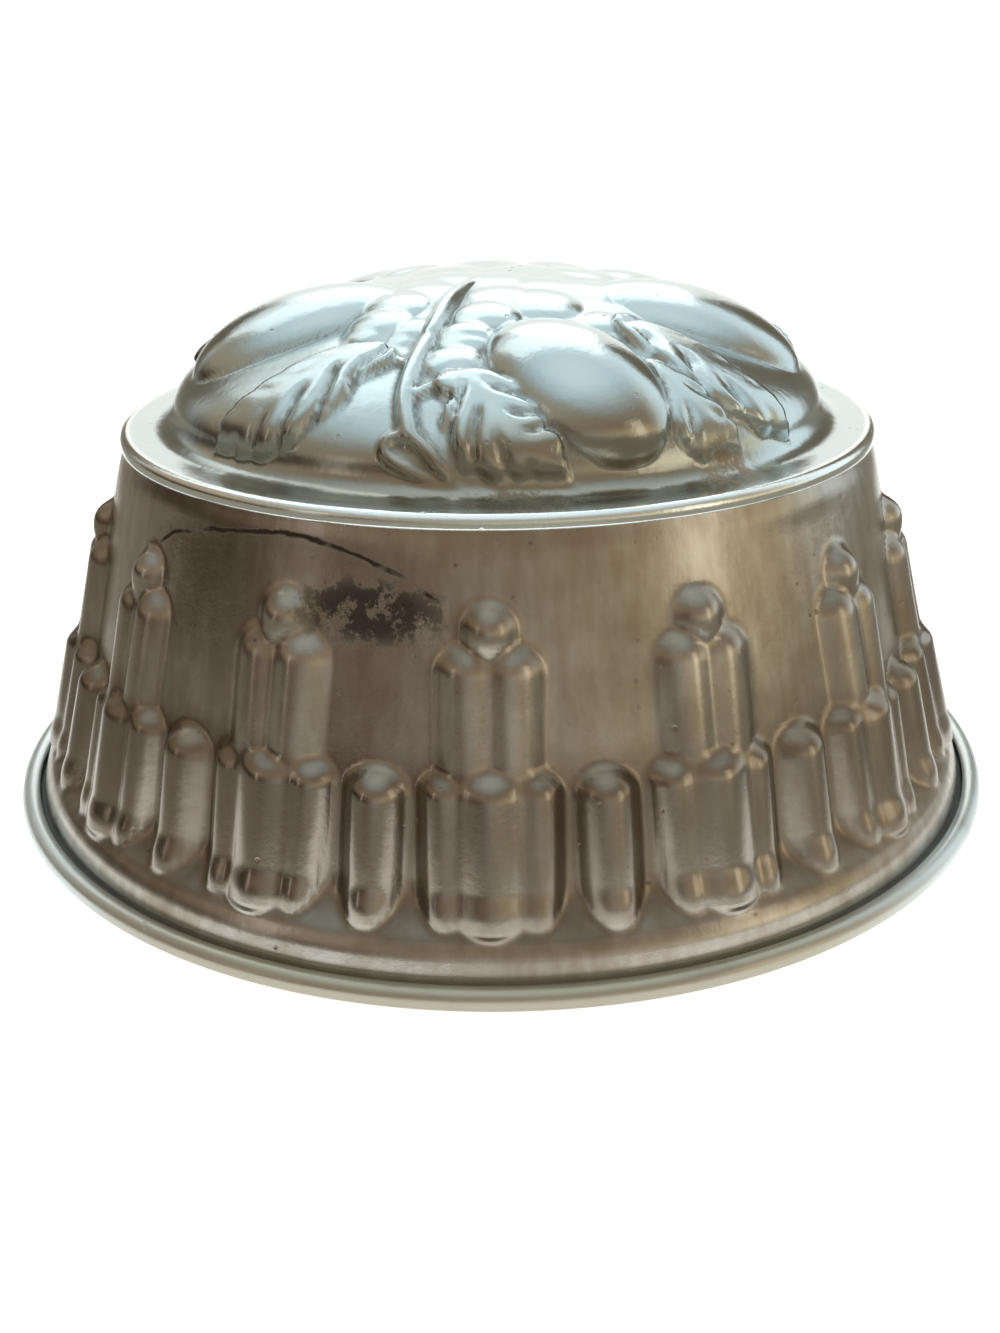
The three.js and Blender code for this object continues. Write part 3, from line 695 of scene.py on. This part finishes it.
def tinFinish(name, finish, marks=None):
    material, lead, shader = startMaterial(name)
    place = lead.node("ShaderNodeTexCoord", output="Object")
    x = lead.parts(place)[0]
    hollow = lead.node("ShaderNodeAttribute", {"attribute_name": "hollow"}, output="Fac")
    relief = lead.node("ShaderNodeAttribute", {"attribute_name": "relief"}, output="Fac")

    def noise(scale, detail, rough=0.55, at=place):
        inputs = {"Vector": at, "Scale": scale, "Detail": detail, "Roughness": rough}
        return lead.node("ShaderNodeTexNoise", {}, inputs)

    clouds, blotches = noise(*tinWear["clouds"]), noise(*tinWear["blotches"])
    ripples, grain = noise(*tinWear["ripples"]), noise(*tinWear["grain"])
    stretched = lead.node("ShaderNodeMapping", {}, {"Vector": place, "Scale": tinWear["streakStretch"]})
    streaks = noise(*tinWear["streaks"], at=stretched)
    pitInputs = {"Vector": place, "Scale": tinWear["pitScale"]}
    pits = lead.node("ShaderNodeTexVoronoi", {"feature": "F1"}, pitInputs)
    patina = clouds * 0.7 + blotches * 0.5 + (streaks - 0.5) * 0.45
    patina = (patina + (finish["patinaShare"] - tinWear["patinaMiddle"])).step(*tinWear["patinaFrom"])
    worn = relief.step(*tinWear["wornFrom"]) * tinWear["wornShare"]  # the proud parts are rubbed bright
    dirt = (hollow.step(*finish["dirtFrom"]) * (blotches * 0.9 + 0.35)).clipped() * finish["dirtShare"]
    specks = (tinWear["pitReach"] - pits).step(0.0, tinWear["pitEdge"]) * blotches.step(*tinWear["pitGroups"])
    colour = (patina - worn).clipped().blend(finish["bright"], finish["patina"])
    dirtTone = x.step(*tinWear["dirtRightFrom"]).blend(finish["dirt"], finish["dirtRight"])
    colour = (dirt + specks * 0.6).clipped().blend(colour, dirtTone)
    uneven = clouds.step(*tinWear["cloudFrom"])
    rough = finish["roughness"] + uneven * 0.1 + dirt * 0.3 + specks * 0.25 - worn * 0.1
    metal = 1.0 - dirt * 0.45
    if marks:
        colour, rough, metal = marks(lead, place, colour, rough, metal, noise)
    height = blotches * 0.35 + ripples * 0.3 + grain * 0.18 + streaks * 0.2 - specks * 0.5
    bump = {"Strength": finish["bump"], "Distance": tinWear["bumpDepth"], "Height": height}
    normal = lead.node("ShaderNodeBump", {}, bump)
    finished = {"Base Color": colour, "Roughness": rough, "Metallic": metal, "Normal": normal}
    for socket, value in finished.items():
        lead.plug(shader.inputs[socket], value)
    return material


# the wall's own marks: a long crooked scratch and a dark stain high on the left; painted shade that darkens
# the lower tier, and a painted brown shade on what faces up
wallMarks = {
    "scratch": [(-0.874, 58.6), (-0.765, 62.1), (-0.598, 64.2), (-0.43, 65.1), (-0.331, 64.0), (-0.213, 61.4),
                (-0.115, 57.8)],
    "scratchEdge": (0.156, 0.572),
    "scratchFade": 0.02,  # at its two ends, in radians
    "scratchWander": 1.6,
    "scratchWobble": (260.0, 4.0),
    "scratchBreaks": (140.0, 3.0),
    "scratchWhole": (0.3, 0.5),
    "scratchSpan": (-0.95, -0.05),
    "scratchHeights": (56.0, 67.0),
    "stainCentre": (-0.25, 55.2),
    "stainReach": (12.5, 5.6),
    "stainRadius": 72.0,
    "stainFade": (0.15, 1.6),
    "stainSpeckle": (330.0, 6.0, 0.75),
    "stainThick": 0.16,
    "stainFrom": (0.54, 0.66),
    "stainShare": 0.95,
    # painted shade: a darker, browner band over the lower tier
    "markTone": rgb(58, 47, 38),
    "lowShadeFrom": (0.008, 0.013),
    "lowShadeTo": (0.03, 0.037),
    "lowShadeTone": rgb(126, 113, 98),
    "lowShadeShare": 0.55,
    "paintedShadeFrom": (0.4, 0.75),  # painted shade on what faces up
    "paintedShadeTone": rgb(118, 104, 86),
    "paintedShadeShare": 0.5,
    "rollFrom": (0.0904, 0.0912),  # the roll has kept its bright tin
    "rollTin": rgb(218, 228, 229),
    "rollWear": (60.0, 4.0),
    "rollWornFrom": (0.5, 0.75),
    "rollFrontShade": rgb(176, 165, 142),
    "rollFrontShadeFrom": (0.05, 0.085),  # and painted shade makes it darker at the front
    "rollFrontShadeShare": 0.8,
}


def markWall(lead, place, colour, rough, metal, noise):
    x, y, z = lead.parts(place)
    azimuth = lead.math("ARCTAN2", x, y * -1.0)
    height = z / mm
    low, high = wallMarks["scratchSpan"]
    bottom, top = wallMarks["scratchHeights"]
    wobble = noise(*wallMarks["scratchWobble"]) - 0.5
    curvePoints = [((a - low) / (high - low), (h - bottom) / (top - bottom)) for a, h in wallMarks["scratch"]]
    share = (azimuth - low) / (high - low)
    course = lead.node("ShaderNodeFloatCurve", {"points": curvePoints}, {"Value": share})
    away = abs(height - (course * (top - bottom) + bottom) + wobble * wallMarks["scratchWander"])
    first, last = wallMarks["scratch"][0][0], wallMarks["scratch"][-1][0]
    fade = wallMarks["scratchFade"]
    within = azimuth.step(first - fade, first + fade) * (1.0 - azimuth.step(last - fade, last + fade))
    scratch = (1.0 - away.step(*wallMarks["scratchEdge"])) * within
    scratch = scratch * noise(*wallMarks["scratchBreaks"]).step(*wallMarks["scratchWhole"])
    stainAz, stainHeight = wallMarks["stainCentre"]
    across = (azimuth - stainAz) * wallMarks["stainRadius"] / wallMarks["stainReach"][0]
    up = (height - stainHeight) / wallMarks["stainReach"][1]
    nearStain = 1.0 - (across * across + up * up).step(*wallMarks["stainFade"])
    speckle = noise(*wallMarks["stainSpeckle"]) + nearStain * wallMarks["stainThick"]
    stain = nearStain * speckle.step(*wallMarks["stainFrom"])
    # painted shade: the band of the lower tier is darkened and browned
    tier = z.step(*wallMarks["lowShadeFrom"]) * (1.0 - z.step(*wallMarks["lowShadeTo"]))
    colour = (tier * wallMarks["lowShadeShare"]).blend(colour, wallMarks["lowShadeTone"])
    # painted shade: faces turned upward are darkened towards brown
    facing = lead.parts(lead.node("ShaderNodeNewGeometry", output="Normal"))
    paintedShade = facing[2].step(*wallMarks["paintedShadeFrom"])
    colour = (paintedShade * wallMarks["paintedShadeShare"]).blend(colour, wallMarks["paintedShadeTone"])
    mark = (scratch + stain * wallMarks["stainShare"]).clipped()
    colour = mark.blend(colour, wallMarks["markTone"])
    roll = lead.math("SQRT", x * x + y * y).step(*wallMarks["rollFrom"])
    # painted shade: the roll is darker and browner towards the front
    ahead = (y * -1.0).step(*wallMarks["rollFrontShadeFrom"])
    rollTinAndShade = (ahead * wallMarks["rollFrontShadeShare"]).blend(wallMarks["rollTin"], wallMarks["rollFrontShade"])
    worn = noise(*wallMarks["rollWear"]).step(*wallMarks["rollWornFrom"])
    colour = (roll * (1.0 - worn * 0.5)).blend(colour, rollTinAndShade)
    return colour, rough + mark * 0.25 + roll * 0.1, metal - mark * 0.5 - roll * 0.22


# the crown's own marks: a rusty patch at the foot on the right and dark stains; a painted brown reflection
# darkens the front of the foot
crownMarks = {
    "rust": Vector((0.0382, -0.0496, 0.0722)),
    "rustReach": 0.0085,
    "rustTone": rgb(150, 108, 62),
    "rustSpeckle": (420.0, 5.0, 0.7),
    "rustFrom": (0.42, 0.56),
    "rustShare": 0.7,
    "stain": Vector((0.005, -0.0636, 0.0703)),
    "stainReach": 0.012,
    "stainSquash": (0.8, 2.4, 3.0),
    "stainTone": rgb(66, 54, 42),
    "stainSpeckle": (360.0, 6.0, 0.75),
    "stainFrom": (0.5, 0.62),
    "stainShare": 0.8,
    "patchFade": (0.3, 1.0),  # of both, as a share of the reach
    "beadFrom": (0.0676, 0.0684),
    "beadTin": rgb(236, 244, 244),
    # painted reflection: a darker brown band round the front of the crown's foot
    "paintedShadeFrom": (0.055, 0.061),  # by distance from the axis
    "paintedShadeTo": (0.066, 0.0675),
    "paintedShadeBack": (-0.06, -0.035),
    "paintedShadeTone": rgb(150, 138, 116),
    "paintedShadeShare": 0.75,
}


def markCrown(lead, place, colour, rough, metal, noise):
    def near(point, reach, squash=(1.0, 1.0, 1.0)):
        gap = lead.node("ShaderNodeVectorMath", {"operation": "SUBTRACT"}, {0: place, 1: point})
        gap = lead.node("ShaderNodeVectorMath", {"operation": "MULTIPLY"}, {0: gap, 1: squash})
        gap = lead.node("ShaderNodeVectorMath", {"operation": "LENGTH"}, {0: gap}, "Value")
        return 1.0 - (gap / reach).step(*crownMarks["patchFade"])

    rust = near(crownMarks["rust"], crownMarks["rustReach"])
    rust = rust * noise(*crownMarks["rustSpeckle"]).step(*crownMarks["rustFrom"])
    stain = near(crownMarks["stain"], crownMarks["stainReach"], crownMarks["stainSquash"])
    stain = stain * noise(*crownMarks["stainSpeckle"]).step(*crownMarks["stainFrom"])
    colour = (rust * crownMarks["rustShare"]).blend(colour, crownMarks["rustTone"])
    colour = (stain * crownMarks["stainShare"]).blend(colour, crownMarks["stainTone"])
    mark = (rust + stain).clipped()
    x, y, _ = lead.parts(place)
    reach = lead.math("SQRT", x * x + y * y)
    colour = reach.step(*crownMarks["beadFrom"]).blend(colour, crownMarks["beadTin"])
    # painted reflection: the foot's front band is browned and darkened
    paintedShade = reach.step(*crownMarks["paintedShadeFrom"]) * (1.0 - reach.step(*crownMarks["paintedShadeTo"]))
    paintedShade = paintedShade * (1.0 - y.step(*crownMarks["paintedShadeBack"]))
    colour = (paintedShade * crownMarks["paintedShadeShare"]).blend(colour, crownMarks["paintedShadeTone"])
    return colour, rough + mark * 0.3, metal - mark * 0.6


wallMaterial = tinFinish("wallTin", wallTin, markWall)
crownMaterial = tinFinish("crownTin", crownTin, markCrown)
buildWall(wallMaterial)
print("wall pressed")
buildCrown(crownMaterial)
print("crown pressed")


# solder and wire
solder = {
    "tone": rgb(150, 150, 146),
    "shade": rgb(104, 100, 94),
    "width": 2.6,
    "wave": 0.22,
    "wavesRound": (31, 53),
    "waveShift": 1.0,
    "stillEdge": (0.4, 0.1),  # the fillet doesn't wave where it meets the wall and the crown
    "stepsRound": 280,
    "gap": 0.82,  # from the wall's outer face
    "hollow": 0.55,
    "seamRows": 60,
    "seamDepth": 0.8,
    "seamSection": [(2.5, 0.8), (2.5, 1.5), (3.0, 1.42), (3.4, 1.15), (3.7, 0.8)],  # along and inward
    "seamSwell": 0.25,
    "seamBeads": 1.7,
    "roughness": 0.38,
}
wire = {"tone": rgb(138, 134, 126), "shade": rgb(92, 84, 74), "roughness": 0.32}
dullWear = {
    "cloudScale": 160.0,
    "grainScale": 900.0,
    "shadeFrom": (0.35, 0.65),
    "bump": 0.25,
    "bumpDepth": 0.0005,
}


def dullMetal(name, tone, shade, roughness):
    material, lead, shader = startMaterial(name)
    place = lead.node("ShaderNodeTexCoord", output="Object")
    cloudInputs = {"Vector": place, "Scale": dullWear["cloudScale"], "Detail": 6.0}
    grainInputs = {"Vector": place, "Scale": dullWear["grainScale"], "Detail": 3.0}
    clouds = lead.node("ShaderNodeTexNoise", {}, cloudInputs)
    grain = lead.node("ShaderNodeTexNoise", {}, grainInputs)
    colour = clouds.step(*dullWear["shadeFrom"]).blend(tone, shade)
    bump = {"Strength": dullWear["bump"], "Distance": dullWear["bumpDepth"], "Height": clouds + grain * 0.4}
    normal = lead.node("ShaderNodeBump", {}, bump)
    finished = {"Base Color": colour, "Roughness": roughness + clouds * 0.2, "Normal": normal}
    for socket, value in finished.items():
        lead.plug(shader.inputs[socket], value)
    shader.inputs["Metallic"].default_value = 1.0
    return material


def buildCrownSolder(material):
    low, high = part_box("crown_solder")
    top, bottom = high.z / mm, low.z / mm
    corner = wallRadius(top) - solder["gap"]
    form = bmesh.new()
    section = [(corner - solder["width"], top), (corner, top), (wallRadius(bottom) - solder["gap"], bottom)]
    bend = np.array((corner, top)) - solder["hollow"]
    section += bendCurve(np.array(section[2]), bend, np.array(section[0]), 6)[:-1]  # the fillet's hollow face
    corners = [form.verts.new((0.0, -radius * mm, height * mm)) for radius, height in section]
    edges = [form.edges.new(pair) for pair in zip(corners, corners[1:] + corners[:1])]
    bmesh.ops.spin(form, geom=corners + edges, cent=(0, 0, 0), axis=(0, 0, 1), dvec=(0, 0, 0),
                   angle=2 * math.pi, steps=solder["stepsRound"], use_merge=True)
    bmesh.ops.remove_doubles(form, verts=form.verts[:], dist=0.01 * mm)
    bmesh.ops.recalc_face_normals(form, faces=form.faces[:])
    longWaves, shortWaves = solder["wavesRound"]
    stillWall, stillCrown = solder["stillEdge"]
    for vert in form.verts:
        azimuth = math.atan2(vert.co.x, -vert.co.y)
        reach = math.hypot(vert.co.x, vert.co.y) / mm
        if reach < corner - stillWall and vert.co.z / mm < top - stillCrown:
            waves = math.sin(azimuth * longWaves) + math.sin(azimuth * shortWaves + solder["waveShift"])
            vert.co.xy *= 1.0 + solder["wave"] * waves / 2 / reach
    mesh = bpy.data.meshes.new("crownSolderFillet")
    form.to_mesh(mesh)
    form.free()
    mesh.shade_smooth()
    return addPiece(mesh, "crown_solder", material)


def buildSeamSolder(material):
    low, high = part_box("side_seam_solder")
    top, bottom = high.z / mm, low.z / mm
    rows = solder["seamRows"]
    course = wallCourse()
    onWall = course["run"] < course["lipRun"]
    downward, outward = -course["height"][onWall], course["radius"][onWall]
    form = bmesh.new()
    section = [Vector((along, inward, bottom)) * mm for along, inward in solder["seamSection"]]
    corners = [form.verts.new(place) for place in section]
    rowFace = form.faces.new(corners)
    for row in range(rows):
        moved = bmesh.ops.extrude_face_region(form, geom=[rowFace])
        verts = [part for part in moved["geom"] if isinstance(part, bmesh.types.BMVert)]
        rowFace = [part for part in moved["geom"] if isinstance(part, bmesh.types.BMFace)][0]
        bmesh.ops.translate(form, verts=verts, vec=(0, 0, (top - bottom) / rows * mm))
    level = [face for face in form.faces if abs(face.normal.z) > 0.9]
    between = [face for face in level if bottom + 0.1 < face.calc_center_median().z / mm < top - 0.1]
    bmesh.ops.delete(form, geom=between, context="FACES_ONLY")
    depth = solder["seamDepth"]
    for vert in form.verts:
        along, inward, height = vert.co.x / mm, vert.co.y / mm, vert.co.z / mm
        swell = 1.0 + solder["seamSwell"] * math.sin(height * solder["seamBeads"]) * (inward > depth + 0.1)
        radius = float(np.interp(-height, downward, outward)) - depth - (inward - depth) * swell
        azimuth = seamAzimuth + along / wallRadius(height)
        vert.co = Vector((radius * math.sin(azimuth), -radius * math.cos(azimuth), height)) * mm
    bmesh.ops.recalc_face_normals(form, faces=form.faces[:])
    mesh = bpy.data.meshes.new("seamSolderBead")
    form.to_mesh(mesh)
    form.free()
    mesh.shade_smooth()
    return addPiece(mesh, "side_seam_solder", material)


solderMaterial = dullMetal("softSolder", solder["tone"], solder["shade"], solder["roughness"])
buildCrownSolder(solderMaterial)
buildSeamSolder(solderMaterial)
wireMaterial = dullMetal("drawnWire", wire["tone"], wire["shade"], wire["roughness"])
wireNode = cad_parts["rim_wire"]
wireNode.data.materials.clear()
wireNode.data.materials.append(wireMaterial)
print("solder and wire done")


# studio: a pale floor that sweeps up behind, a soft panel behind and above, and a brown room in front
studio = {
    "floor": rgb(238, 238, 236),
    "floorGlow": 0.78,
    "floorRoughness": 0.9,
    "floorAway": rgb(172, 163, 149),
    "paleAcross": (0.114, 0.165),  # pale as far as the picture shows it, dim beyond
    "paleAhead": (0.16, 0.21),
    "paleSpread": 0.34,
    "floorReach": 2.4,
    "sweepRadius": 0.9,
    "lamps": [
        {"name": "backPanel", "place": (-0.25, 0.85, 1.05), "aim": (0, 0, 0.05), "size": (1.4, 0.9),
         "power": 3.4, "tint": (0.93, 0.99, 1.0)},
        {"name": "rightStrip", "place": (0.86, -0.52, 0.30), "aim": (0, 0, 0.05), "size": (0.3, 0.6),
         "power": 0.4, "tint": (1.0, 0.95, 0.82)},
        {"name": "leftStrip", "place": (-0.8, -0.62, 0.30), "aim": (0, 0, 0.05), "size": (0.06, 0.5),
         "power": 0.12, "tint": (1.0, 0.95, 0.9)},
    ],
    "roomAcross": [(0.0, (0.05, 0.028, 0.017)), (0.25, (0.19, 0.128, 0.098)), (0.5, (0.52, 0.49, 0.44)),
                   (0.75, (0.68, 0.59, 0.43)), (1.0, (0.78, 0.63, 0.38))],
    "roomUp": [(0.0, (0.42, 0.33, 0.23)), (0.4, (0.42, 0.33, 0.23)), (0.64, (0.42, 0.35, 0.27)),
               (0.8, (0.54, 0.60, 0.60)), (0.92, (0.76, 0.86, 0.88)), (1.0, (0.92, 1.0, 1.0))],
    "roomBack": (1.0, 1.09, 1.11, 1.0),
    "backLean": 0.35,  # the pale back reaches further round on the right
    "backFrom": (0.2, 0.75),
    "horizon": (0.08, 0.4),
}


def buildFloor():
    reach, bend = studio["floorReach"], studio["sweepRadius"]
    form = bmesh.new()
    corners = [form.verts.new((-reach, -reach, 0.0)), form.verts.new((-reach, reach - bend, 0.0))]
    for turn in np.linspace(0.0, math.pi / 2, 17)[1:]:
        along, height = reach - bend + bend * math.sin(turn), bend - bend * math.cos(turn)
        corners.append(form.verts.new((-reach, along, height)))
    corners.append(form.verts.new((-reach, reach, reach)))
    edges = [form.edges.new(pair) for pair in zip(corners, corners[1:])]
    swept = bmesh.ops.extrude_edge_only(form, edges=edges)
    farSide = [part for part in swept["geom"] if isinstance(part, bmesh.types.BMVert)]
    bmesh.ops.translate(form, verts=farSide, vec=(2 * reach, 0, 0))
    bmesh.ops.recalc_face_normals(form, faces=form.faces[:])
    mesh = bpy.data.meshes.new("paleFloor")
    form.to_mesh(mesh)
    form.free()
    mesh.shade_smooth()
    material, lead, shader = startMaterial("palePaper")
    place = lead.node("ShaderNodeTexCoord", output="Object")
    x, y, _ = lead.parts(place)
    beside = (abs(x) - y * studio["paleSpread"]).step(*studio["paleAcross"])
    ahead = (y * -1.0).step(*studio["paleAhead"])
    pale = 1.0 - lead.math("MAXIMUM", beside, ahead)
    rays = lead.node("ShaderNodeLightPath").socket.node.outputs
    seen = [Lead(lead.tree, rays[name]) for name in ("Is Camera Ray", "Is Glossy Ray", "Is Transmission Ray")]
    glow = (seen[0] + seen[1] + seen[2]).clipped() * pale
    lead.plug(shader.inputs["Base Color"], pale.blend(studio["floorAway"], studio["floor"]))
    lead.plug(shader.inputs["Emission Color"], glow.blend((0.0, 0.0, 0.0, 1.0), (1.0, 1.0, 1.0, 1.0)))
    shader.inputs["Emission Strength"].default_value = studio["floorGlow"]
    shader.inputs["Roughness"].default_value = studio["floorRoughness"]
    shader.inputs["Specular IOR Level"].default_value = 0.0
    mesh.materials.append(material)
    floor = bpy.data.objects.new("paleFloor", mesh)
    scene.collection.objects.link(floor)


def addLamp(lamp):
    data = bpy.data.lights.new(lamp["name"], "AREA")
    data.shape = "RECTANGLE"
    data.size, data.size_y = lamp["size"]
    data.energy = lamp["power"]
    data.color = lamp["tint"]
    holder = bpy.data.objects.new(lamp["name"], data)
    scene.collection.objects.link(holder)
    place = Vector(lamp["place"])
    turn = (Vector(lamp["aim"]) - place).to_track_quat("-Z", "Y").to_matrix().to_4x4()
    holder.matrix_world = Matrix.Translation(place) @ turn


def buildRoom():
    world = bpy.data.worlds.new("room")
    scene.world = world
    world.use_nodes = True
    tree = world.node_tree
    lead = Lead(tree)
    way = lead.node("ShaderNodeTexCoord", output="Generated")
    x, y, z = lead.parts(way)
    across = lead.node("ShaderNodeValToRGB", {"stops": studio["roomAcross"]}, {"Fac": x * 0.5 + 0.5})
    upward = lead.node("ShaderNodeValToRGB", {"stops": studio["roomUp"]}, {"Fac": z})
    front = z.step(*studio["horizon"]).blend(across, upward)
    colour = (y + x * studio["backLean"]).step(*studio["backFrom"]).blend(front, studio["roomBack"])
    lead.plug(tree.nodes["Background"].inputs["Color"], colour)
    tree.nodes["Background"].inputs["Strength"].default_value = 1.0


buildFloor()
for lamp in studio["lamps"]:
    addLamp(lamp)
buildRoom()
print("studio lit")
